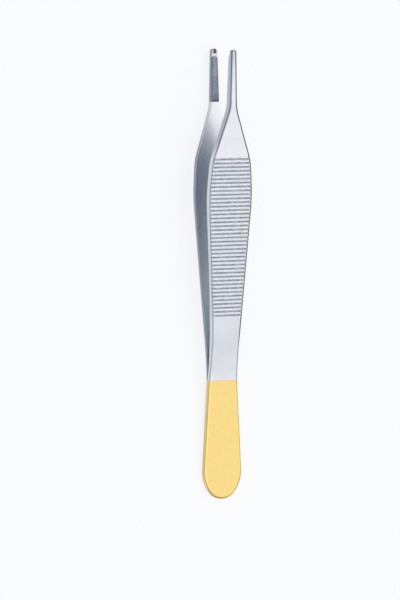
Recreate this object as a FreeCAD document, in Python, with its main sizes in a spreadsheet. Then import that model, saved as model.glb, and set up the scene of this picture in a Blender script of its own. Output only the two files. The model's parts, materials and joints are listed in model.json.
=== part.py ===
import FreeCAD, Part
import math
import os
import Sketcher
from FreeCAD import Placement, Rotation, Vector

# Thumb forceps, 120 mm: two spring arms welded flat together over the handle end, with
# carbide gripping platforms brazed into the tips, and one tooth that meets two.
# The arms are drawn about their common mid-plane, with the handle end at Y = 0 and the
# tips along +Y. The finished forceps are then tilted to lie on the lower arm's outer face.

# Driving dimensions, in mm. A width or a height is that of an outline's corner before it is
# rounded, and a height is counted from the mid-plane to the outer face.
SIZES = [
    ("end_round_length", 4.4, "handle end, tip of the oval to its flank corner"),
    ("end_taper_length", 35.0, "flank corner to the waist"),
    ("grip_taper_length", 41.6, "waist to the crest of the grip"),
    ("crest_length", 9.5, "crest of the grip to its shoulder"),
    ("shoulder_length", 14.1, "shoulder to the neck"),
    ("neck_length", 15.4, "neck to the end of the tips"),
    ("end_width", 4.4, "flat of the oval end"),
    ("flank_width", 11.5, "handle end at its widest"),
    ("waist_width", 7.55, "waist"),
    ("crest_width", 12.75, "grip at its widest"),
    ("shoulder_width", 11.35, "shoulder of the grip"),
    ("neck_width", 2.15, "neck behind the tips"),
    ("tip_width", 1.58, "tips"),
    ("end_radius", 4.0, "rounding of the oval end"),
    ("flank_radius", 9.0, "rounding of the handle's flanks"),
    ("waist_radius", 150.0, "hollow of the waist"),
    ("crest_radius", 60.0, "rounding of the crest"),
    ("shoulder_radius", 16.0, "rounding of the shoulder"),
    ("neck_radius", 14.0, "hollow of the neck"),
    ("tip_radius", 0.66, "corners of the tips, seen from above"),
    ("weld_length", 31.95, "length over which the arms are welded together"),
    ("rise_length", 13.3, "quick rise of the outer face past the weld"),
    ("bow_length", 26.3, "weld to the bend of the inner face"),
    ("end_height", 0.9, "one arm's thickness at the handle end"),
    ("weld_height", 1.0, "one arm's thickness where the weld ends"),
    ("rise_height", 3.1, "outer face at the end of the quick rise"),
    ("neck_height", 6.85, "outer face at the neck"),
    ("tip_height", 6.95, "outer face at the tips"),
    ("blade_thickness", 1.35, "one arm's thickness at the bend of its inner face"),
    ("tip_thickness", 1.75, "one arm's thickness at its tip"),
    ("weld_bend_radius", 30.0, "bend of the outer face past the weld"),
    ("rise_bend_radius", 80.0, "bend of the outer face below the grip"),
    ("neck_bend_radius", 90.0, "bend of the outer face at the neck"),
    ("inner_bend_radius", 200.0, "bend of the inner face"),
    ("edge_radius", 0.55, "rounding of the outer edges"),
    ("groove_start_length", 17.55, "weld to the first grip groove"),
    ("groove_zone_length", 42.0, "first grip groove to the last"),
    ("groove_pitch", 1.043, "one grip groove to the next"),
    ("groove_width", 0.5, "mouth of a grip groove"),
    ("groove_depth", 0.26, "depth of a grip groove"),
    ("tooth_zone_length", 2.3, "steel tip in front of the platform"),
    ("platform_length", 11.8, "carbide platform, end to end"),
    ("platform_thickness", 0.8, "carbide platform"),
    ("tooth_width", 0.52, "single tooth"),
    ("tooth_height", 0.5, "single tooth, beyond the platform's face"),
    ("tooth_length", 1.5, "single tooth at its root"),
    ("tooth_crown_length", 0.45, "single tooth at its crown"),
    ("tooth_setback", 0.12, "end of the arm to the single tooth"),
    ("bevel_depth", 0.95, "fall of the bevel beside the single tooth"),
    ("notch_width", 0.8, "mouth of the notch between the two teeth"),
    ("notch_floor_width", 0.3, "floor of the notch between the two teeth"),
    ("notch_depth", 0.95, "depth of the notch between the two teeth"),
    ("notch_length", 1.2, "end of the arm to the end of the notch"),
    ("valley_length", 1.1, "ramp behind the two teeth"),
    ("valley_depth", 0.45, "depth of the ramp behind the two teeth"),
]

# Sizes worked out from the driving dimensions. A station is a distance from the handle end.
GRIP_SLOPE = "(neck_height - rise_height) / (neck_station - rise_station)"
INNER_SLOPE = "(tip_inner - bow_inner) / (total_length - bow_station)"
DERIVED = [
    ("waist_station", "end_round_length + end_taper_length"),
    ("crest_station", "waist_station + grip_taper_length"),
    ("shoulder_station", "crest_station + crest_length"),
    ("neck_station", "shoulder_station + shoulder_length"),
    ("total_length", "neck_station + neck_length"),
    ("rise_station", "weld_length + rise_length"),
    ("bow_station", "weld_length + bow_length"),
    ("grip_slope", GRIP_SLOPE),
    ("bow_inner", "rise_height + grip_slope * (bow_station - rise_station) - blade_thickness"),
    ("tip_inner", "tip_height - tip_thickness"),
    ("inner_slope", INNER_SLOPE),
    ("end_half", "end_width / 2"),
    ("flank_half", "flank_width / 2"),
    ("waist_half", "waist_width / 2"),
    ("crest_half", "crest_width / 2"),
    ("shoulder_half", "shoulder_width / 2"),
    ("neck_half", "neck_width / 2"),
    ("tip_half", "tip_width / 2"),
    ("stock_width", "2 * (crest_width + flank_width)"),
    ("stock_half", "stock_width / 2"),
    ("stock_margin", "end_width"),
    ("stock_end", "total_length + stock_margin"),
    ("groove_count", "round(groove_zone_length / groove_pitch) + 1"),
    ("groove_run", "groove_pitch * (groove_count - 1)"),
    ("groove_rim", "groove_depth"),
    ("groove_rim_half", "groove_width"),
    ("front_station", "total_length - tooth_zone_length"),
    ("back_station", "front_station - platform_length"),
    ("front_inner", "tip_inner - inner_slope * tooth_zone_length"),
    ("back_inner", "front_inner - inner_slope * platform_length"),
    ("front_seat", "front_inner + platform_thickness"),
    ("back_seat", "back_inner + platform_thickness"),
    ("clear_inner", "back_inner - tooth_height - platform_thickness"),
    ("bevel_end", "tip_inner + bevel_depth"),
    ("tooth_start", "total_length - tooth_setback - tooth_length"),
    ("tooth_crown_start", "tooth_end - tooth_crown_length"),
    ("tooth_end", "total_length - tooth_setback"),
    ("tooth_crown", "tip_inner - tooth_height"),
    ("tooth_root", "tip_inner + bevel_depth"),
    ("notch_half", "notch_width / 2"),
    ("notch_floor_half", "notch_floor_width / 2"),
    ("notch_floor", "tip_inner + notch_depth"),
    ("notch_mouth", "tip_inner - notch_depth"),
    ("notch_mouth_half", "2 * notch_half - notch_floor_half"),
    ("notch_run", "2 * notch_length"),
    ("valley_end", "front_station + valley_length"),
    ("valley_floor", "front_inner + valley_depth"),
    ("valley_rim", "front_inner - valley_depth"),
    ("valley_rim_end", "valley_end + valley_length"),
]

X_AXIS = Vector(1, 0, 0)
Y_AXIS = Vector(0, 1, 0)
LEAST_CUT = 1e-6


def make_sheet(doc):
    """Put the driving dimensions and the sizes worked out from them in a spreadsheet."""
    sheet = doc.addObject("Spreadsheet::Sheet", "sizes")
    rows = [(name, str(value), note) for name, value, note in SIZES]
    rows += [(name, "=" + formula, "worked out") for name, formula in DERIVED]
    for row, (name, content, note) in enumerate(rows, start=1):
        sheet.set(f"A{row}", name)
        sheet.set(f"B{row}", content)
        sheet.set(f"C{row}", note)
        sheet.setAlias(f"B{row}", name)
    doc.recompute()
    return sheet


def make_body(doc, name):
    body = doc.addObject("PartDesign::Body", name)
    body.Label = name
    return body


def make_sketch(body, name, role):
    """Start a sketch on one of the body's own origin planes."""
    sketch = body.newObject("Sketcher::SketchObject", name)
    plane = [feature for feature in body.Origin.OriginFeatures if feature.Role == role][0]
    sketch.AttachmentSupport = [(plane, "")]
    sketch.MapMode = "FlatFace"
    return sketch


def bind_point(sketch, sheet, geometry, position, names):
    """Hold a sketch point at two sizes of the sheet. None stands for zero."""
    for kind, name, axis in zip(("DistanceX", "DistanceY"), names, (-2, -1)):
        if name is None:
            sketch.addConstraint(Sketcher.Constraint("PointOnObject", geometry, position, axis))
            continue
        value = float(sheet.get(name))
        constraint = Sketcher.Constraint(kind, -1, 1, geometry, position, value)
        index = sketch.addConstraint(constraint)
        sketch.setExpression(f"Constraints[{index}]", f"sizes.{name}")


def corner_cut(before, corner, after, radius):
    """Give the two tangent points and the centre of a rounding."""
    back = (before - corner).normalize()
    ahead = (after - corner).normalize()
    half_angle = back.getAngle(ahead) / 2
    reach = radius / math.tan(half_angle)
    centre = corner + (back + ahead).normalize() * (radius / math.sin(half_angle))
    return corner + back * reach, corner + ahead * reach, centre


def arc_between(start, end, centre, radius):
    """Make the short arc from start to end. Say whether it runs backwards."""
    circle = Part.Circle(centre, Vector(0, 0, 1), radius)
    turn = (start - centre).cross(end - centre).z
    first, last = (start, end) if turn > 0 else (end, start)
    return Part.ArcOfCircle(circle, circle.parameter(first), circle.parameter(last)), turn < 0


def sheet_value(sheet, name):
    return 0.0 if name is None else float(sheet.get(name))


def draw_outline(sketch, sheet, corners, mirrored=False):
    """Draw a closed outline of straight lines, with rounded corners where a radius is named.

    Each corner is (x, y, radius), all names of sizes. A mirrored outline has its corners on
    the right of the vertical axis only, from the bottom to the top, and is symmetric.
    """
    points = [Vector(sheet_value(sheet, x), sheet_value(sheet, y), 0) for x, y, _ in corners]
    radii = [sheet_value(sheet, radius) for _, _, radius in corners]
    count = len(corners)
    if mirrored:
        points += [Vector(-point.x, point.y, 0) for point in reversed(points)]
        radii += list(reversed(radii))
    total = len(points)
    cuts = []
    for index, point in enumerate(points):
        if radii[index]:
            cuts.append(corner_cut(points[index - 1], point, points[(index + 1) % total], radii[index]))
        else:
            cuts.append((point, point, None))
    sides = [Part.LineSegment(cuts[i][1], cuts[(i + 1) % total][0]) for i in range(total)]
    first_side = sketch.addGeometry(sides, False)[0]
    anchors = []
    arcs = []
    for index in range(total):
        before = first_side + (index - 1) % total
        after = first_side + index
        if not radii[index]:
            sketch.addConstraint(Sketcher.Constraint("Coincident", before, 2, after, 1))
            anchors.append((after, 1))
            arcs.append(None)
            continue
        start, end, centre = cuts[index]
        curve, backwards = arc_between(start, end, centre, radii[index])
        arc = sketch.addGeometry(curve, False)
        near, far = (2, 1) if backwards else (1, 2)
        sketch.addConstraint(Sketcher.Constraint("Tangent", before, 2, arc, near))
        sketch.addConstraint(Sketcher.Constraint("Tangent", arc, far, after, 1))
        anchor = sketch.addGeometry(Part.Point(points[index]), True)
        sketch.addConstraint(Sketcher.Constraint("PointOnObject", anchor, 1, before))
        sketch.addConstraint(Sketcher.Constraint("PointOnObject", anchor, 1, after))
        anchors.append((anchor, 1))
        arcs.append(arc)
    for index in range(count):
        geometry, position = anchors[index]
        x_name, y_name, radius_name = corners[index]
        bind_point(sketch, sheet, geometry, position, (x_name, y_name))
        if radius_name:
            radius = Sketcher.Constraint("Radius", arcs[index], radii[index])
            row = sketch.addConstraint(radius)
            sketch.setExpression(f"Constraints[{row}]", f"sizes.{radius_name}")
        if mirrored:
            twin = total - 1 - index
            other, other_position = anchors[twin]
            symmetric = Sketcher.Constraint("Symmetric", geometry, position, other, other_position, -2)
            sketch.addConstraint(symmetric)
            if radius_name:
                sketch.addConstraint(Sketcher.Constraint("Equal", arcs[index], arcs[twin]))


def draw_stock_frame(sketch, sheet):
    """Draw the rectangle that lies well outside the outline on every side."""
    half = sheet_value(sheet, "stock_half")
    low = -sheet_value(sheet, "stock_margin")
    high = sheet_value(sheet, "stock_end")
    corners = [Vector(half, low, 0), Vector(half, high, 0), Vector(-half, high, 0), Vector(-half, low, 0)]
    lines = [Part.LineSegment(corners[i], corners[(i + 1) % 4]) for i in range(4)]
    first = sketch.addGeometry(lines, False)[0]
    for index in range(4):
        join = Sketcher.Constraint("Coincident", first + index, 2, first + (index + 1) % 4, 1)
        sketch.addConstraint(join)
    for index, kind in enumerate(("Vertical", "Horizontal", "Vertical")):
        sketch.addConstraint(Sketcher.Constraint(kind, first + index))
    sketch.addConstraint(Sketcher.Constraint("Symmetric", first, 1, first + 2, 2, -2))
    bind_point(sketch, sheet, first, 2, ("stock_half", "stock_end"))
    row = sketch.addConstraint(Sketcher.Constraint("DistanceY", first, 1, -1, 1, -low))
    sketch.setExpression(f"Constraints[{row}]", "sizes.stock_margin")


def add_pad(body, sketch, name, width):
    """Pad a sketch evenly to both sides of its plane."""
    pad = body.newObject("PartDesign::Pad", name)
    pad.Profile = sketch
    pad.SideType = "Symmetric"
    pad.setExpression("Length", f"sizes.{width}")
    sketch.Visibility = False
    return pad


def add_pocket(body, sketch, name, width):
    """Pocket a sketch evenly to both sides of its plane, and check that it cut something."""
    solid = body.Tip
    body.Document.recompute()
    before = solid.Shape.Volume
    pocket = body.newObject("PartDesign::Pocket", name)
    pocket.Profile = sketch
    pocket.SideType = "Symmetric"
    pocket.setExpression("Length", f"sizes.{width}")
    body.Document.recompute()
    if not pocket.Shape.Volume < before - LEAST_CUT:
        raise RuntimeError(f"{pocket.Label} removed nothing from {body.Label}")
    return pocket


def trim_to_plan(body, sheet):
    """Cut away all that lies outside the forceps' outline seen from above."""
    sketch = make_sketch(body, "plan", "XY_Plane")
    draw_stock_frame(sketch, sheet)
    draw_outline(sketch, sheet, [
        ("end_half", None, "end_radius"),
        ("flank_half", "end_round_length", "flank_radius"),
        ("waist_half", "waist_station", "waist_radius"),
        ("crest_half", "crest_station", "crest_radius"),
        ("shoulder_half", "shoulder_station", "shoulder_radius"),
        ("neck_half", "neck_station", "neck_radius"),
        ("tip_half", "total_length", "tip_radius"),
    ], mirrored=True)
    return add_pocket(body, sketch, "plan_trim", "stock_width")


def outer_rim(shape):
    """Find the edges around the outer face: those that only one outward face has."""
    outward = []
    for face in shape.Faces:
        u_min, u_max, v_min, v_max = face.ParameterRange
        normal = face.normalAt((u_min + u_max) / 2, (v_min + v_max) / 2)
        if normal.z > 0.9:
            outward.append(face)
    names = []
    for index, edge in enumerate(shape.Edges, start=1):
        owners = [face for face in outward if any(edge.isSame(other) for other in face.Edges)]
        if len(owners) == 1:
            names.append(f"Edge{index}")
    return names


def round_outer_edges(body):
    base = body.Tip
    fillet = body.newObject("PartDesign::Fillet", "outer_rounding")
    fillet.Base = (base, outer_rim(base.Shape))
    fillet.setExpression("Radius", "sizes.edge_radius")
    return fillet


def cut_grip_grooves(body, sheet):
    """Cut one groove across the outer face, and repeat it along the grip."""
    sketch = make_sketch(body, "groove", "YZ_Plane")
    start = "sizes.weld_length + sizes.groove_start_length"
    climb = f"({start} - sizes.rise_station) * sizes.grip_slope"
    sketch.AttachmentOffset = Placement(Vector(), Rotation(Vector(0, 0, 1), 1))
    sketch.setExpression("AttachmentOffset.Base.x", start)
    sketch.setExpression("AttachmentOffset.Base.y", f"sizes.rise_height + {climb}")
    sketch.setExpression("AttachmentOffset.Rotation.Angle", "atan(sizes.grip_slope)")
    half = sheet_value(sheet, "groove_rim_half")
    rim = sheet_value(sheet, "groove_rim")
    points = [Vector(0, -rim, 0), Vector(half, rim, 0), Vector(-half, rim, 0)]
    lines = [Part.LineSegment(points[i], points[(i + 1) % 3]) for i in range(3)]
    first = sketch.addGeometry(lines, False)[0]
    for index in range(3):
        join = Sketcher.Constraint("Coincident", first + index, 2, first + (index + 1) % 3, 1)
        sketch.addConstraint(join)
    sketch.addConstraint(Sketcher.Constraint("PointOnObject", first, 1, -2))
    row = sketch.addConstraint(Sketcher.Constraint("DistanceY", first, 1, -1, 1, rim))
    sketch.setExpression(f"Constraints[{row}]", "sizes.groove_depth")
    bind_point(sketch, sheet, first, 2, ("groove_rim_half", "groove_rim"))
    sketch.addConstraint(Sketcher.Constraint("Symmetric", first, 2, first + 1, 2, -2))
    pocket = add_pocket(body, sketch, "grip_groove", "stock_width")
    pattern = body.newObject("PartDesign::LinearPattern", "grip_grooves")
    pattern.Originals = [pocket]
    pattern.Direction = (sketch, ["H_Axis"])
    pattern.Mode = "Extent"
    pattern.setExpression("Length", "sizes.groove_run")
    pattern.setExpression("Occurrences", "sizes.groove_count")
    body.Tip = pattern
    return pattern


def platform_corners(low_front, low_back):
    """Give the corners of the platform's seat, as far in as the two named heights."""
    return [
        ("back_station", low_back, None),
        ("front_station", low_front, None),
        ("front_station", "front_seat", None),
        ("back_station", "back_seat", None),
    ]


def cut_platform_seat(body, sheet):
    sketch = make_sketch(body, "seat", "YZ_Plane")
    draw_outline(sketch, sheet, platform_corners("clear_inner", "clear_inner"))
    return add_pocket(body, sketch, "platform_seat", "stock_width")


def add_single_tooth(body, sheet):
    """Bevel the arm's end, and raise one tooth in its middle."""
    bevel = make_sketch(body, "bevel", "YZ_Plane")
    draw_outline(bevel, sheet, [
        ("front_station", "clear_inner", None),
        ("total_length", "clear_inner", None),
        ("total_length", "bevel_end", None),
        ("front_station", "front_inner", None),
    ])
    add_pocket(body, bevel, "end_bevel", "stock_width")
    tooth = make_sketch(body, "tooth", "YZ_Plane")
    draw_outline(tooth, sheet, [
        ("tooth_start", "front_inner", None),
        ("tooth_crown_start", "tooth_crown", None),
        ("tooth_end", "tooth_crown", None),
        ("tooth_end", "tooth_root", None),
        ("tooth_start", "tooth_root", None),
    ])
    return add_pad(body, tooth, "single_tooth", "tooth_width")


def cut_two_teeth(body, sheet):
    """Cut a ramp behind the arm's end, and a notch that leaves a tooth on each side."""
    valley = make_sketch(body, "valley", "YZ_Plane")
    draw_outline(valley, sheet, [
        ("front_station", "valley_rim", None),
        ("valley_rim_end", "valley_rim", None),
        ("front_station", "valley_floor", None),
    ])
    add_pocket(body, valley, "ramp", "stock_width")
    notch = make_sketch(body, "notch", "XZ_Plane")
    notch.setExpression("AttachmentOffset.Base.z", "-sizes.total_length")
    draw_outline(notch, sheet, [
        ("notch_mouth_half", "notch_mouth", None),
        ("notch_floor_half", "notch_floor", None),
    ], mirrored=True)
    return add_pocket(body, notch, "tooth_notch", "notch_run")


def make_arm(doc, sheet, name, add_teeth):
    """Forge one arm: its side profile, its outline, its rounded edges, grooves and teeth."""
    body = make_body(doc, name)
    profile = make_sketch(body, "profile", "YZ_Plane")
    draw_outline(profile, sheet, [
        (None, None, None),
        ("weld_length", None, None),
        ("bow_station", "bow_inner", "inner_bend_radius"),
        ("total_length", "tip_inner", None),
        ("total_length", "tip_height", None),
        ("neck_station", "neck_height", "neck_bend_radius"),
        ("rise_station", "rise_height", "rise_bend_radius"),
        ("weld_length", "weld_height", "weld_bend_radius"),
        (None, "end_height", None),
    ])
    add_pad(body, profile, "blank", "stock_width")
    trim_to_plan(body, sheet)
    round_outer_edges(body)
    cut_grip_grooves(body, sheet)
    cut_platform_seat(body, sheet)
    add_teeth(body, sheet)
    return body


def make_platform(doc, sheet, name):
    """Make one carbide platform, flush with the arm's sides and inner face."""
    body = make_body(doc, name)
    sketch = make_sketch(body, "profile", "YZ_Plane")
    draw_outline(sketch, sheet, platform_corners("front_inner", "back_inner"))
    add_pad(body, sketch, "blank", "stock_width")
    trim_to_plan(body, sheet)
    return body


def rest_tilt(sheet):
    """Give the tilt at which the outer face's crown and the handle end touch a table."""
    value = {name: float(sheet.get(name)) for name, _ in DERIVED + [row[:2] for row in SIZES]}
    rise = Vector(value["rise_station"], value["rise_height"], 0)
    neck = Vector(value["neck_station"], value["neck_height"], 0)
    tip = Vector(value["total_length"], value["tip_height"], 0)
    radius = value["neck_bend_radius"]
    centre = corner_cut(rise, neck, tip, radius)[2]
    heel = Vector(value["edge_radius"], value["end_height"], 0)
    line = centre - heel
    return math.atan2(line.y, line.x) + math.asin(radius / line.Length)


def check(doc, parts):
    """Stop if any object failed, or if a part isn't one sound solid."""
    for item in doc.Objects:
        if "Invalid" in item.State or "Error" in item.State:
            raise RuntimeError(f"{item.Label} failed: {item.State}")
    for part in parts:
        shape = part.Shape
        if shape.isNull() or not shape.isValid() or len(shape.Solids) != 1:
            raise RuntimeError(f"{part.Label} isn't one valid solid")


doc = FreeCAD.newDocument("thumb_forceps")
sheet = make_sheet(doc)
upper = [
    make_arm(doc, sheet, "upper_arm", add_single_tooth),
    make_platform(doc, sheet, "upper_platform"),
]
lower = [
    make_arm(doc, sheet, "lower_arm", cut_two_teeth),
    make_platform(doc, sheet, "lower_platform"),
]
doc.recompute()
check(doc, upper + lower)

# The lower arm is the upper one turned over about the long axis.
tilt = Placement(Vector(), Rotation(X_AXIS, math.degrees(rest_tilt(sheet))))
turn_over = Placement(Vector(), Rotation(Y_AXIS, 180))
for part in upper:
    part.Placement = tilt
for part in lower:
    part.Placement = tilt * turn_over
box = Part.makeCompound([part.Shape for part in upper + lower]).optimalBoundingBox(False)
to_origin = Placement(Vector(0, -box.Center.y, -box.ZMin), Rotation())
for part in upper + lower:
    part.Placement = to_origin * part.Placement

os.makedirs("parts", exist_ok=True)
for part in upper + lower:
    part.Shape.exportStep(f"parts/{part.Label}.step")
    size = part.Shape.BoundBox
    print(part.Label, round(part.Shape.Volume, 2), size)
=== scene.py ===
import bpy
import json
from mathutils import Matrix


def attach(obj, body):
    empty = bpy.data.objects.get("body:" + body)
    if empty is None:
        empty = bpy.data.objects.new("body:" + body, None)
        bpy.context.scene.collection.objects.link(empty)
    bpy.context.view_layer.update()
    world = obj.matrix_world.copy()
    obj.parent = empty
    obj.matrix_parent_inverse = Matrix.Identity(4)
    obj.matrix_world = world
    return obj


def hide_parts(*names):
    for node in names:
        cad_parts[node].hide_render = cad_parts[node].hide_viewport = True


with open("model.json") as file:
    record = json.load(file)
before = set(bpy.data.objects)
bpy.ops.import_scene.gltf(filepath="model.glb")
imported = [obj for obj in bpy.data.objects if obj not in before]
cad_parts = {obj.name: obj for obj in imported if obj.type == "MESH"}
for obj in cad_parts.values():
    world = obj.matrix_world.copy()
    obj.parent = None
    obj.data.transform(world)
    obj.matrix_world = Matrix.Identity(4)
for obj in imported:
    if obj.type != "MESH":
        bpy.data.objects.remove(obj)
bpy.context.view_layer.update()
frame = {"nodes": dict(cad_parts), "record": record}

import json
import math
from collections import namedtuple

import bmesh
import bpy
from mathutils import Matrix, Vector

# Places on the forceps are given in mm: a side, a station and a height. A station is a distance
# from the handle end along the forceps, and a height a distance from the plane between the arms.
MM = 0.001
GOLD_STATION = 31.95
END_THICKNESS = 0.9
WELD_THICKNESS = 1.0
HANDLE_SLOPE = (WELD_THICKNESS - END_THICKNESS) / GOLD_STATION
MOUNT_STATION = 14.0
MOUNT_HEIGHT = END_THICKNESS + HANDLE_SLOPE * MOUNT_STATION

# The picture's frame in pixels, where the forceps lie in it, and the camera, whose clip is in m
IMAGE_WIDTH, IMAGE_HEIGHT = 400, 600
PIXELS_PER_MM = 3.736
HANDLE_END_ROW = 498.3
AXIS_COLUMN = 221.5
LEAN = math.radians(0.16)
VIEW_ROLL = math.radians(25.0)
VIEW_RISE = math.radians(5.4)
LENS = 228.0
SENSOR = 36.0
CLIP = (0.01, 10.0)

# Colours of the steel, the gold and the carbide, and the painted light and shade laid on them. A shade is
# what a colour is multiplied by.
STEEL_COLOUR = (0.620, 0.635, 0.660)
# Painted light and shade for the inner faces, graded along them: painted light towards the handle end,
# painted shade further along and at the tip
INNER_LOW_PAINTED_LIGHT = (0.950, 0.980, 1.000)
INNER_HIGH_PAINTED_SHADE = (0.550, 0.595, 0.645)
INNER_TIP_PAINTED_SHADE = (0.700, 0.702, 0.735)
INNER_SHADE = (0.930, 0.930, 0.930)
# A painted highlight on the ramp below the teeth, and painted shade on the teeth
RAMP_PAINTED_HIGHLIGHT = (0.960, 0.970, 0.985)
TOOTH_PAINTED_SHADE = (0.390, 0.410, 0.440)
RIDGE_COLOUR = (0.572, 0.600, 0.630)
# Painted shade in the grip's grooves
GROOVE_PAINTED_SHADE = (0.495, 0.522, 0.550)
# Painted shade, standing for a dark reflection, on the rounded edges within the grip
GRIP_EDGE_PAINTED_SHADE = (0.400, 0.400, 0.400)
# Painted shade on the outer face below the grip and at the tip
BELOW_GRIP_PAINTED_SHADE = (0.915, 0.925, 0.925)
TIP_FACE_PAINTED_SHADE = (0.760, 0.770, 0.800)
# Painted shade, standing for a dark reflection, on the rounded edges, darker towards the tip
EDGE_PAINTED_SHADE = (0.260, 0.275, 0.300)
TIP_EDGE_PAINTED_SHADE = (0.170, 0.180, 0.205)
# Painted shade and painted light on the arms' left flanks along their length
LOWER_SIDE_PAINTED_SHADE = (0.480, 0.530, 0.590)
LOWER_NECK_SIDE_PAINTED_LIGHT = (1.050, 1.070, 1.100)
LOWER_TIP_SIDE_PAINTED_SHADE = (0.500, 0.550, 0.610)
UPPER_SIDE_PAINTED_LIGHT = (1.080, 1.140, 1.190)
UPPER_TIP_SIDE_PAINTED_SHADE = (0.780, 0.820, 0.890)
GOLD_COLOUR = (0.728, 0.550, 0.206)
# A painted highlight on the gold's rounded edges, and painted shade on the rim of the handle end
GOLD_EDGE_PAINTED_HIGHLIGHT = (1.280, 1.300, 1.250)
GOLD_RIM_PAINTED_SHADE = (0.420, 0.440, 0.570)
CARBIDE_COLOUR = (0.455, 0.510, 0.560)
CARBIDE_BLOTCH_SHADE = (0.860, 0.860, 0.880)
CARBIDE_EDGE_SHADE = (0.400, 0.420, 0.450)
GROUND_COLOUR = (0.560, 0.580, 0.610)

# How far each colour's darker and lighter patches depart from it
STEEL_SPREAD = 0.045
GOLD_SPREAD = 0.04
RIDGE_SPREAD = 0.12
GROOVE_SPREAD = 0.2
CARBIDE_SPREAD = 0.2

# Patterns of the finish: scale, detail, and the stretch across, along and up
GRAIN = (9.0, 3.0, (1.0, 0.035, 1.0))
CLOUD = (0.22, 2.0)
FLECK = (1.6, 4.0, (0.5, 1.6, 1.0))
SPARKLE = (2.6, 3.0, (0.7, 1.2, 1.0))
SPECK = (3.2, 4.0)
BLOTCH = (0.9, 2.0, (0.6, 0.5, 1.0))

# The values of a pattern, or of two added, over which a tone, the gloss or an edge changes
STEEL_SPAN = (0.7, 1.3)
GOLD_SPAN = (0.75, 1.25)
SPARKLE_SPAN = (0.36, 0.62)
BLOTCH_SPAN = (0.4, 0.6)
TONE_SPAN = (0.35, 0.65)
WEAR_SPAN = (0.3, 0.7)

# Stations between which one tone passes into the next
GOLD_BLUR = 0.04
GOLD_BOUNDARY = (GOLD_STATION - GOLD_BLUR, GOLD_STATION + GOLD_BLUR)
INNER_GRADE = (36.0, 88.0)
INNER_TIP_GRADE = (91.0, 102.0)
HANDLE_EDGE_GRADE = (40.0, 46.0)
NECK_EDGE_GRADE = (88.0, 94.0)
TIP_EDGE_GRADE = (100.0, 108.0)
LOWER_SIDE_GRADE = (93.0, 102.0)
UPPER_SIDE_GRADE = (92.0, 96.0)
BELOW_GRIP_GRADE = (38.0, 43.0)
TIP_FACE_GRADE = (113.5, 118.5)

# Where the platform starts, where the ramp of the teeth starts past it, and where the ramp ends.
# What faces left between the middle and the notch's side belongs to the notch, not to the arm's flank.
PLATFORM_STATION = 105.9
RAMP_STATION = 117.6
TOOTH_STATION = 118.7
NOTCH_SIDE = -0.5

# How much a surface faces one way, from -1 to 1, where one tone passes into the next. An edge has two
# spans: its tone comes in over the first and goes out again over the second.
INNER_FACING = (-0.7, -0.4)
OUTER_FACING = (0.3, 0.5)
RAMP_FACING = -0.5
RIGHT_EDGE = ((0.03, 0.15), (0.9, 0.99))
LEFT_EDGE = ((-0.99, -0.85), (-0.3, -0.1))
UPPER_LEFT_FACING = (-0.6, -0.2)
LOWER_LEFT_FACING = (-0.98, -0.8)
GOLD_EDGE = ((0.05, 0.3), (0.9, 0.98))
GOLD_END_FACING = (-0.7, -0.35)
GOLD_RIM_FACING = (0.0, 0.3)

# The grip's grooves, in mm. How ragged and soft their edges are, and how far the grip goes on past the
# first and the last of them, are shares of a pitch.
GROOVE_START = 49.5
GROOVE_PITCH = 1.043
GROOVE_COUNT = 41
GROOVE_WIDTH = 0.5
GROOVE_RAGGED = 0.05
GROOVE_SOFT = (-0.14, 0.02)
GRIP_MARGIN = (0.45, 0.5)

# Gloss, the fine relief and its depth in mm, and the share of painted edge shade that the left edges get
# past the neck
STEEL_ROUGHNESS = (0.26, 0.36)
CARBIDE_ROUGHNESS = (0.42, 0.58)
RELIEF_STRENGTH = 0.12
RELIEF_DEPTH = 0.02
NECK_EDGE_SHADE_SHARE = 0.5

# The diamond pattern of the platforms, in mm: its repeats across and along, and its depth. Half a
# groove's width is a share of the repeat, and the grid that it is laid on has so many cells in each.
HATCH_ACROSS = 0.48
HATCH_ALONG = 0.56
HATCH_DEPTH = 0.09
HATCH_GROOVE = 0.25
HATCH_CELLS = 4
SAME_STATION = 0.002
CUT_TOLERANCE = 0.00001

# The tone of the platforms' faces, in mm: how far in from the sides the dark border fades, the share
# of a distance from the start that counts for it, where past the start a fainter dark tone fades, and
# the share of the border's tone that it has at first.
BORDER = (0.1, 0.3)
START_BORDER_SHARE = 0.3
START_DARK_SPAN = (1.2, 3.2)
START_DARK_SHARE = 0.22

# The studio, in m. The floor's glow is the share of its brightness that shadows leave alone. The angles
# from straight up, in degrees, are where the soft box starts, is full, is full still and ends.
FLOOR_HALF = 8.0
FLOOR_COLOUR = (0.930, 0.945, 0.965)
FLOOR_ROUGHNESS = 0.7
FLOOR_SPECULAR = 0.2
GLOW_COLOUR = (0.985, 0.992, 1.000)
FLOOR_GLOW = 0.8
ROOM_LIGHT = (0.230, 0.265, 0.320)
BOX_LIGHT = (1.400, 1.385, 1.405)
BOX_ACROSS = (-80.0, -10.0, 42.0, 66.0)
BOX_ALONG = (-68.0, -19.0, 45.0, 80.0)

# One end of a platform: its station, half its width, and the heights of its face and of its back
End = namedtuple("End", "station half face back")


def forceps_axes():
    """Give the directions of width, length and height, the handle end's place and the tilt."""
    mounts = frame["record"]["mounts"]
    mount = next(mount for mount in mounts if mount["name"] == "handle_top")
    normal = Vector(mount["axis"])
    tilt = math.atan2(-normal.y, normal.z) - math.atan(HANDLE_SLOPE)
    width = Vector((1, 0, 0))
    length = Vector((0, math.cos(tilt), math.sin(tilt)))
    height = Vector((0, -math.sin(tilt), math.cos(tilt)))
    start = Vector(mount["pos_m"]) - (length * MOUNT_STATION + height * MOUNT_HEIGHT) * MM
    return width, length, height, start, tilt


WIDTH, LENGTH, HEIGHT, START, TILT = forceps_axes()


def place(side, station, height):
    """Turn a side, station and height into a point of the frame."""
    return START + (WIDTH * side + LENGTH * station + HEIGHT * height) * MM


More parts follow.
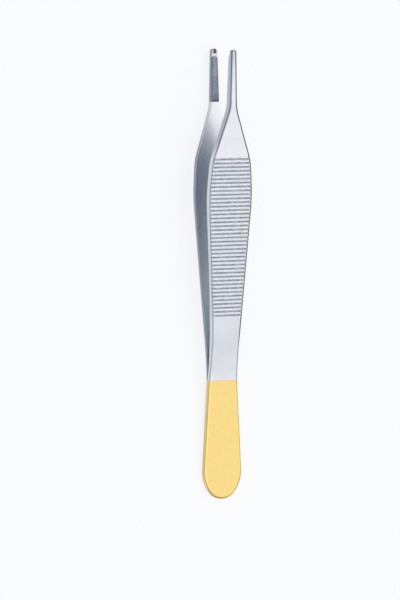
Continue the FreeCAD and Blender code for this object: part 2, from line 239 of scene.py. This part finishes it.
def measure(point):
    """Turn a point of the frame into its side, station and height."""
    offset = (point - START) / MM
    return offset.dot(WIDTH), offset.dot(LENGTH), offset.dot(HEIGHT)


def add_camera():
    """Look at the arms from the left of straight above them, so that they fall on the photo's rows."""
    camera = bpy.data.objects.new("camera", bpy.data.cameras.new("camera"))
    bpy.context.scene.collection.objects.link(camera)
    camera.data.lens = LENS
    camera.data.sensor_width = SENSOR
    camera.data.clip_start, camera.data.clip_end = CLIP
    level = HEIGHT * math.cos(VIEW_ROLL) - WIDTH * math.sin(VIEW_ROLL)
    back = level * math.cos(VIEW_RISE) + LENGTH * math.sin(VIEW_RISE)
    up = LENGTH * math.cos(VIEW_RISE) - level * math.sin(VIEW_RISE)
    up = Matrix.Rotation(LEAN, 3, back) @ up
    right = up.cross(back)
    distance = IMAGE_HEIGHT / PIXELS_PER_MM * MM * LENS / SENSOR
    along = (HANDLE_END_ROW - IMAGE_HEIGHT / 2) / PIXELS_PER_MM * MM
    aside = (IMAGE_WIDTH / 2 - AXIS_COLUMN) / PIXELS_PER_MM * MM
    target = START + up * along + right * aside
    turn = Matrix((right, up, back)).transposed()
    camera.matrix_world = Matrix.Translation(target + back * distance) @ turn.to_4x4()
    bpy.context.scene.camera = camera


def opaque(colour):
    """Give a colour its fourth channel."""
    return (*colour, 1.0)


def shades(colour, spread):
    """Give a darker and a lighter shade of a colour."""
    return [tuple(channel * factor for channel in colour) for factor in (1 - spread, 1 + spread)]


class Nodes:
    """A material or a world being built, with short ways to add and join its nodes."""

    def __init__(self, owner):
        owner.use_nodes = True
        self.tree = owner.node_tree

    def add(self, kind, inputs=None, **settings):
        node = self.tree.nodes.new(kind)
        for name, value in settings.items():
            setattr(node, name, value)
        for name, value in (inputs or {}).items():
            self.feed(node.inputs[name], value)
        return node

    def feed(self, socket, value):
        if isinstance(value, bpy.types.NodeSocket):
            self.tree.links.new(value, socket)
        else:
            socket.default_value = value

    def math(self, operation, first, second=0.0):
        return self.add("ShaderNodeMath", {0: first, 1: second}, operation=operation).outputs[0]

    def product(self, first, *others):
        for other in others:
            first = self.math("MULTIPLY", first, other)
        return first

    def remap(self, value, span, start, end):
        """Give start up to a span of values, end past it, and a straight run over it."""
        inputs = {0: value, 1: span[0], 2: span[1], 3: start, 4: end}
        return self.add("ShaderNodeMapRange", inputs).outputs[0]

    def rise(self, value, span):
        """Give 0 up to a span of values and 1 past it."""
        return self.remap(value, span, 0.0, 1.0)

    def fall(self, value, span):
        """Give 1 up to a span of values and 0 past it."""
        return self.remap(value, span, 1.0, 0.0)

    def mix_values(self, share, first, second):
        """Mix two values, which are a mix node's inputs 2 and 3."""
        node = self.add("ShaderNodeMix", {0: share, 2: first, 3: second}, data_type="FLOAT")
        return node.outputs[0]

    def mix(self, share, first, second, blend_type="MIX"):
        """Mix two colours, which are a mix node's inputs 6 and 7."""
        node = self.add("ShaderNodeMix", {0: share}, data_type="RGBA", blend_type=blend_type)
        for socket, colour in ((node.inputs[6], first), (node.inputs[7], second)):
            self.feed(socket, opaque(colour) if isinstance(colour, tuple) else colour)
        return node.outputs[2]

    def shade(self, colour, shade):
        return self.mix(1.0, colour, shade, blend_type="MULTIPLY")

    def tint(self, share, colour, shade):
        """Shade a colour over the share given."""
        return self.mix(share, colour, self.shade(colour, shade))

    def along(self, vector, axis):
        node = self.add("ShaderNodeVectorMath", {0: vector, 1: axis}, operation="DOT_PRODUCT")
        return node.outputs["Value"]

    def noise(self, vector, scale, detail, stretch=(1, 1, 1)):
        mapped = self.add("ShaderNodeMapping", {"Vector": vector, "Scale": stretch}).outputs[0]
        inputs = {"Vector": mapped, "Scale": scale, "Detail": detail}
        return self.add("ShaderNodeTexNoise", inputs).outputs[0]

    def forceps_place(self):
        """Give the side, station and height in mm of the point being shaded."""
        turn = Matrix.Rotation(-TILT, 3, "X")
        mapping = {
            "Vector": self.add("ShaderNodeTexCoord").outputs["Object"],
            "Location": -(turn @ START) / MM,
            "Rotation": (-TILT, 0, 0),
            "Scale": (1 / MM, 1 / MM, 1 / MM),
        }
        return self.add("ShaderNodeMapping", mapping).outputs[0]


class ArmSurface:
    """The point of an arm being shaded: where it is, how it faces, and the grain of its finish."""

    def __init__(self, nodes):
        self.spot = nodes.forceps_place()
        self.side, self.station, self.height = nodes.add("ShaderNodeSeparateXYZ", {0: self.spot}).outputs
        facing = nodes.add("ShaderNodeTexCoord").outputs["Normal"]
        self.sideways = nodes.along(facing, WIDTH)
        self.forward = nodes.along(facing, LENGTH)
        self.outward = nodes.product(nodes.along(facing, HEIGHT), nodes.math("SIGN", self.height))
        self.outer = nodes.rise(self.outward, OUTER_FACING)
        self.grain = nodes.noise(self.spot, *GRAIN)
        self.fleck = nodes.noise(self.spot, *FLECK)
        self.steel_share = nodes.rise(self.station, GOLD_BOUNDARY)


def steel_tone(nodes, at):
    """Give the steel's colour, with light and shade painted on the inner faces along their length."""
    blend = nodes.rise(nodes.math("ADD", at.grain, nodes.noise(at.spot, *CLOUD)), STEEL_SPAN)
    steel = nodes.mix(blend, *shades(STEEL_COLOUR, STEEL_SPREAD))
    # Painted light and shade along the inner faces
    inner_painted_light_and_shade = nodes.mix(nodes.rise(at.station, INNER_GRADE), INNER_LOW_PAINTED_LIGHT, INNER_HIGH_PAINTED_SHADE)
    inner_painted_light_and_shade = nodes.mix(nodes.rise(at.station, INNER_TIP_GRADE), inner_painted_light_and_shade, INNER_TIP_PAINTED_SHADE)
    inner_painted_light_and_shade = nodes.tint(nodes.math("SUBTRACT", 1.0, blend), inner_painted_light_and_shade, INNER_SHADE)
    return nodes.mix(nodes.fall(at.outward, INNER_FACING), steel, inner_painted_light_and_shade)


def gold_tone(nodes, at):
    """Give the gold's colour, with a painted highlight on the rounded edges and painted shade on the rim of
    the handle end.
    """
    blend = nodes.rise(nodes.math("ADD", at.grain, at.fleck), GOLD_SPAN)
    gold = nodes.mix(blend, *shades(GOLD_COLOUR, GOLD_SPREAD))
    slant = nodes.math("ABSOLUTE", at.sideways)
    # Painted highlight on the rounded edges, then painted shade on the rim
    edge_highlight_share = nodes.product(nodes.rise(slant, GOLD_EDGE[0]), nodes.fall(slant, GOLD_EDGE[1]))
    gold = nodes.tint(edge_highlight_share, gold, GOLD_EDGE_PAINTED_HIGHLIGHT)
    rim_shade_share = nodes.product(nodes.fall(at.forward, GOLD_END_FACING), nodes.fall(at.sideways, GOLD_RIM_FACING))
    return nodes.tint(rim_shade_share, gold, GOLD_RIM_PAINTED_SHADE)


def tone_faces(nodes, at, colour):
    """Paint a highlight on the ramp and shade on the teeth, and paint shade on the outer face below the grip
    and at the tip.
    """
    # A painted highlight on the ramp, and painted shade on the teeth
    past_ramp = nodes.math("GREATER_THAN", at.station, RAMP_STATION)
    ramp = nodes.product(past_ramp, nodes.math("LESS_THAN", at.outward, RAMP_FACING))
    toothed = nodes.math("GREATER_THAN", at.station, TOOTH_STATION)
    colour = nodes.mix(ramp, colour, nodes.mix(toothed, RAMP_PAINTED_HIGHLIGHT, TOOTH_PAINTED_SHADE))
    # Painted shade on the outer face below the grip and at the tip
    before_grip = nodes.math("LESS_THAN", at.station, GROOVE_START)
    below_grip = nodes.product(nodes.rise(at.station, BELOW_GRIP_GRADE), before_grip, at.outer)
    colour = nodes.tint(below_grip, colour, BELOW_GRIP_PAINTED_SHADE)
    tip = nodes.product(nodes.rise(at.station, TIP_FACE_GRADE), at.outer)
    return nodes.tint(tip, colour, TIP_FACE_PAINTED_SHADE)


def painted_edge_shade_share(nodes, at):
    """Give the share of painted shade, standing for a dark reflection, on the rounded edges: the right ones,
    and the left ones a little past the neck.
    """
    right = nodes.product(
        nodes.rise(at.sideways, RIGHT_EDGE[0]),
        nodes.fall(at.sideways, RIGHT_EDGE[1]),
        nodes.rise(at.station, HANDLE_EDGE_GRADE),
    )
    left = nodes.product(
        nodes.rise(at.sideways, LEFT_EDGE[0]),
        nodes.fall(at.sideways, LEFT_EDGE[1]),
        nodes.remap(at.station, NECK_EDGE_GRADE, 0.0, NECK_EDGE_SHADE_SHARE),
    )
    return nodes.product(nodes.math("ADD", right, left), at.steel_share)


def paint_left_side_light_and_shade(nodes, at, colour):
    """Paint light and shade on the left flank of each arm, in each arm's own tones along its length, and
    leave the notch's left side as it is.
    """
    lower = nodes.math("LESS_THAN", at.height, 0.0)
    upper_left = nodes.fall(at.sideways, UPPER_LEFT_FACING)
    lower_left = nodes.fall(at.sideways, LOWER_LEFT_FACING)
    leftward = nodes.mix_values(lower, upper_left, lower_left)
    outside = nodes.math("LESS_THAN", at.side, NOTCH_SIDE)
    upper_painted_light_and_shade = nodes.mix(nodes.rise(at.station, UPPER_SIDE_GRADE), UPPER_SIDE_PAINTED_LIGHT, UPPER_TIP_SIDE_PAINTED_SHADE)
    lower_grade = nodes.rise(at.station, LOWER_SIDE_GRADE)
    lower_painted_light_and_shade = nodes.mix(lower_grade, LOWER_SIDE_PAINTED_SHADE, LOWER_NECK_SIDE_PAINTED_LIGHT)
    past_start = nodes.math("GREATER_THAN", at.station, PLATFORM_STATION)
    lower_painted_light_and_shade = nodes.mix(past_start, lower_painted_light_and_shade, LOWER_TIP_SIDE_PAINTED_SHADE)
    # Painted light and shade on the left flanks
    shade = nodes.mix(lower, upper_painted_light_and_shade, lower_painted_light_and_shade)
    return nodes.tint(nodes.product(leftward, outside, at.steel_share), colour, shade)


def add_grip(nodes, at, colour, painted_edge_colour, dark_edge_share):
    """Colour the grip's ridges and ragged grooves, with painted shade in the grooves and on the rounded
    edges, and give the colour and where the grip is.
    """
    turns = nodes.math("DIVIDE", nodes.math("SUBTRACT", at.station, GROOVE_START), GROOVE_PITCH)
    near, far = GRIP_MARGIN
    after_start = nodes.rise(turns, (-far, -near))
    before_end = nodes.fall(turns, (GROOVE_COUNT - 1 + near, GROOVE_COUNT - 1 + far))
    gripped = nodes.product(after_start, before_end, at.outer)
    sparkle = nodes.rise(nodes.noise(at.spot, *SPARKLE), SPARKLE_SPAN)
    ridge = nodes.mix(sparkle, *shades(RIDGE_COLOUR, RIDGE_SPREAD))
    ridge = nodes.mix(dark_edge_share, ridge, nodes.shade(painted_edge_colour, GRIP_EDGE_PAINTED_SHADE))
    colour = nodes.mix(nodes.product(gripped, at.steel_share), colour, ridge)
    ragged = nodes.math("ADD", turns, nodes.remap(at.fleck, WEAR_SPAN, -GROOVE_RAGGED, GROOVE_RAGGED))
    from_middle = nodes.math("ABSOLUTE", nodes.math("SUBTRACT", ragged, nodes.math("ROUND", ragged)))
    half = GROOVE_WIDTH / GROOVE_PITCH / 2
    groove = nodes.fall(from_middle, (half + GROOVE_SOFT[0], half + GROOVE_SOFT[1]))
    # Painted shade in the grooves
    groove_painted_shade = nodes.mix(nodes.rise(at.fleck, TONE_SPAN), *shades(GROOVE_PAINTED_SHADE, GROOVE_SPREAD))
    return nodes.mix(nodes.product(groove, gripped), colour, groove_painted_shade), gripped


def arm_material():
    """Make the satin steel of the arms, plated with gold from the handle end to its station, with light and
    shade painted into its colour.
    """
    material = bpy.data.materials.new("arm_steel")
    nodes = Nodes(material)
    shader = nodes.tree.nodes["Principled BSDF"]
    at = ArmSurface(nodes)
    colour = nodes.mix(at.steel_share, gold_tone(nodes, at), steel_tone(nodes, at))
    colour = tone_faces(nodes, at, colour)
    # Painted shade, standing for a dark reflection, on the rounded edges
    edge_shade = nodes.mix(nodes.rise(at.station, TIP_EDGE_GRADE), EDGE_PAINTED_SHADE, TIP_EDGE_PAINTED_SHADE)
    painted_edge_colour = nodes.shade(colour, edge_shade)
    dark_edge_share = painted_edge_shade_share(nodes, at)
    colour = nodes.mix(dark_edge_share, colour, painted_edge_colour)
    colour = paint_left_side_light_and_shade(nodes, at, colour)
    colour, gripped = add_grip(nodes, at, colour, painted_edge_colour, dark_edge_share)
    nodes.feed(shader.inputs["Base Color"], colour)
    nodes.feed(shader.inputs["Roughness"], nodes.remap(at.grain, WEAR_SPAN, *STEEL_ROUGHNESS))
    worn = nodes.product(nodes.remap(at.fleck, WEAR_SPAN, -1.0, 1.0), gripped)
    relief = nodes.math("ADD", at.grain, worn)
    bump = {"Strength": RELIEF_STRENGTH, "Distance": RELIEF_DEPTH * MM, "Height": relief}
    nodes.feed(shader.inputs["Normal"], nodes.add("ShaderNodeBump", bump).outputs[0])
    shader.inputs["Metallic"].default_value = 1.0
    return material


def hatched_tone(nodes, spot, tone, ends):
    """Blotch the tone of a platform's face, and darken it along its edges and towards its start."""
    start, end = ends
    side, station, _ = nodes.add("ShaderNodeSeparateXYZ", {0: spot}).outputs
    blotch = nodes.rise(nodes.noise(spot, *BLOTCH), BLOTCH_SPAN)
    tone = nodes.tint(blotch, tone, CARBIDE_BLOTCH_SHADE)
    half = nodes.remap(station, (start.station, end.station), start.half, end.half)
    past_start = nodes.math("SUBTRACT", station, start.station)
    inside = nodes.math("SUBTRACT", half, nodes.math("ABSOLUTE", side))
    inside = nodes.math("MINIMUM", inside, nodes.product(past_start, START_BORDER_SHARE))
    # A tone that grows darker towards the platform's start
    worn = nodes.remap(past_start, START_DARK_SPAN, START_DARK_SHARE, 0.0)
    return nodes.tint(nodes.math("MAXIMUM", nodes.fall(inside, BORDER), worn), tone, CARBIDE_EDGE_SHADE)


def carbide_material(name, colour, ends=None):
    """Make sintered carbide, which for a platform's hatched face needs the platform's ends."""
    material = bpy.data.materials.new(name)
    nodes = Nodes(material)
    shader = nodes.tree.nodes["Principled BSDF"]
    spot = nodes.forceps_place()
    speck = nodes.noise(spot, *SPECK)
    tone = nodes.mix(nodes.rise(speck, TONE_SPAN), *shades(colour, CARBIDE_SPREAD))
    if ends:
        tone = hatched_tone(nodes, spot, tone, ends)
    nodes.feed(shader.inputs["Base Color"], tone)
    nodes.feed(shader.inputs["Roughness"], nodes.remap(speck, WEAR_SPAN, *CARBIDE_ROUGHNESS))
    shader.inputs["Metallic"].default_value = 1.0
    return material


def platform_ends(node):
    """Read a platform's two ends from its solid, whose face is nearer than its back to the other arm."""
    points = [measure(vertex.co) for vertex in node.data.vertices]
    ends = []
    for pick in (min, max):
        station = pick(point[1] for point in points)
        row = [point for point in points if abs(point[1] - station) < SAME_STATION]
        heights = sorted((point[2] for point in row), key=abs)
        ends.append(End(station, max(abs(point[0]) for point in row), heights[0], heights[-1]))
    return ends


def heights_between(ends, station):
    """Give the heights of a platform's face and of its back at a station."""
    start, end = ends
    share = (station - start.station) / (end.station - start.station)
    return start.face + (end.face - start.face) * share, start.back + (end.back - start.back) * share


def hatch_relief(side, station):
    """Give from 0 to 1 how deep the crossed grooves are at a place on a platform."""
    deepest = 0.0
    for turn in (-1, 1):
        phase = side / HATCH_ACROSS + turn * station / HATCH_ALONG
        deepest = max(deepest, 1.0 - abs(phase - math.floor(phase) - 0.5) / HATCH_GROOVE)
    return deepest


def lay_hatched_face(shape, ends):
    """Lay a platform's grooved face on a grid that reaches past its outline."""
    across, along = HATCH_ACROSS / HATCH_CELLS, HATCH_ALONG / HATCH_CELLS
    corners = {}

    def corner(i, j):
        """Give the vertex at a corner of the grid, or at the middle of one of its cells."""
        if (i, j) not in corners:
            side, station = i * across, j * along
            face, back = heights_between(ends, station)
            sink = math.copysign(HATCH_DEPTH, back - face) * hatch_relief(side, station)
            corners[i, j] = shape.verts.new(place(side, station, face + sink))
        return corners[i, j]

    start, end = ends
    last_column = math.ceil(max(start.half, end.half) / across) + 1
    first_row = math.floor(start.station / along) - 1
    last_row = math.ceil(end.station / along) + 1
    for i in range(-last_column, last_column):
        for j in range(first_row, last_row):
            ring = [corner(i, j), corner(i + 1, j), corner(i + 1, j + 1), corner(i, j + 1)]
            middle = corner(i + 0.5, j + 0.5)
            for first, second in zip(ring, ring[1:] + ring[:1]):
                shape.faces.new((first, second, middle))


def thicken(shape, ends):
    """Extend a platform's face down to the plane of its back, with the second material there."""
    hatched = list(shape.faces)
    skirt = bmesh.ops.extrude_face_region(shape, geom=hatched)["geom"]
    for vertex in (part for part in skirt if isinstance(part, bmesh.types.BMVert)):
        side, station, _ = measure(vertex.co)
        vertex.co = place(side, station, heights_between(ends, station)[1])
    for face in set(shape.faces) - set(hatched):
        face.material_index = 1


def trim(shape, ends):
    """Cut a platform to its outline, and close the cuts with the second material."""
    start, end = ends
    spread = LENGTH * (end.half - start.half)
    run = WIDTH * (end.station - start.station)
    cuts = (
        (place(start.half, start.station, 0), run - spread),
        (place(-start.half, start.station, 0), -run - spread),
        (place(0, start.station, 0), -LENGTH),
        (place(0, end.station, 0), LENGTH),
    )
    for spot, normal in cuts:
        everything = [*shape.verts, *shape.edges, *shape.faces]
        cut = bmesh.ops.bisect_plane(
            shape, geom=everything, dist=CUT_TOLERANCE * MM, plane_co=spot, plane_no=normal, clear_outer=True
        )
        rim_shade_share = [part for part in cut["geom_cut"] if isinstance(part, bmesh.types.BMEdge)]
        for face in bmesh.ops.contextual_create(shape, geom=rim_shade_share)["faces"]:
            face.material_index = 1


def add_platform(name, ground_colour):
    """Build a platform in its node's place, with its diamond grooves cut into the inner face."""
    ends = platform_ends(frame["nodes"][name])
    shape = bmesh.new()
    lay_hatched_face(shape, ends)
    thicken(shape, ends)
    trim(shape, ends)
    bmesh.ops.triangulate(shape, faces=[face for face in shape.faces if len(face.verts) > 4])
    bmesh.ops.recalc_face_normals(shape, faces=shape.faces)
    mesh = bpy.data.meshes.new(name + "_hatched")
    shape.to_mesh(mesh)
    shape.free()
    mesh.materials.append(carbide_material(name + "_hatched", CARBIDE_COLOUR, ends))
    mesh.materials.append(carbide_material(name + "_ground", ground_colour))
    piece = bpy.data.objects.new(name + "_hatched", mesh)
    bpy.context.scene.collection.objects.link(piece)
    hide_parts(name)
    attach(piece, "root")


def add_floor():
    """Lay a pale floor that reads nearly white and keeps a soft shadow."""
    mesh = bpy.data.meshes.new("floor")
    corners = [(x * FLOOR_HALF, y * FLOOR_HALF, 0) for x, y in ((-1, -1), (1, -1), (1, 1), (-1, 1))]
    mesh.from_pydata(corners, [], [(0, 1, 2, 3)])
    floor = bpy.data.objects.new("floor", mesh)
    bpy.context.scene.collection.objects.link(floor)
    material = bpy.data.materials.new("floor")
    nodes = Nodes(material)
    shader = nodes.tree.nodes["Principled BSDF"]
    shader.inputs["Base Color"].default_value = opaque(FLOOR_COLOUR)
    shader.inputs["Roughness"].default_value = FLOOR_ROUGHNESS
    shader.inputs["Specular IOR Level"].default_value = FLOOR_SPECULAR
    path = nodes.add("ShaderNodeLightPath").outputs
    seen = nodes.math("MAXIMUM", path["Is Camera Ray"], path["Is Glossy Ray"])
    seen = nodes.math("MAXIMUM", seen, path["Is Transmission Ray"])
    glow = nodes.add("ShaderNodeEmission", {"Color": opaque(GLOW_COLOUR), "Strength": 1.0})
    parts = {0: nodes.product(seen, FLOOR_GLOW), 1: shader.outputs[0], 2: glow.outputs[0]}
    blend = nodes.add("ShaderNodeMixShader", parts)
    nodes.feed(nodes.tree.nodes["Material Output"].inputs["Surface"], blend.outputs[0])
    mesh.materials.append(material)


def add_light():
    """Light the forceps from a long soft box above them, a little to the right of straight up."""
    world = bpy.data.worlds.new("studio")
    bpy.context.scene.world = world
    nodes = Nodes(world)
    direction = nodes.add("ShaderNodeTexCoord").outputs["Generated"]
    up = nodes.along(direction, HEIGHT)
    shares = []
    for axis, angles in ((WIDTH, BOX_ACROSS), (LENGTH, BOX_ALONG)):
        angle = nodes.math("ARCTAN2", nodes.along(direction, axis), up)
        starts, full, full_still, ends = (math.radians(degrees) for degrees in angles)
        shares += [nodes.rise(angle, (starts, full)), nodes.fall(angle, (full_still, ends))]
    background = nodes.tree.nodes["Background"]
    nodes.feed(background.inputs["Color"], nodes.mix(nodes.product(*shares), ROOM_LIGHT, BOX_LIGHT))
    background.inputs["Strength"].default_value = 1.0


add_camera()
add_floor()
add_light()
arm_steel = arm_material()
for name in ("upper_arm", "lower_arm"):
    arm = frame["nodes"][name]
    arm.data.materials.clear()
    arm.data.materials.append(arm_steel)
add_platform("upper_platform", GROUND_COLOUR)
# The lower platform's sides get the painted shade of the lower arm's tip flank
painted_shade_ground = tuple(colour * shade for colour, shade in zip(GROUND_COLOUR, LOWER_TIP_SIDE_PAINTED_SHADE))
add_platform("lower_platform", painted_shade_ground)

bpy.context.scene.view_settings.view_transform = "Standard"
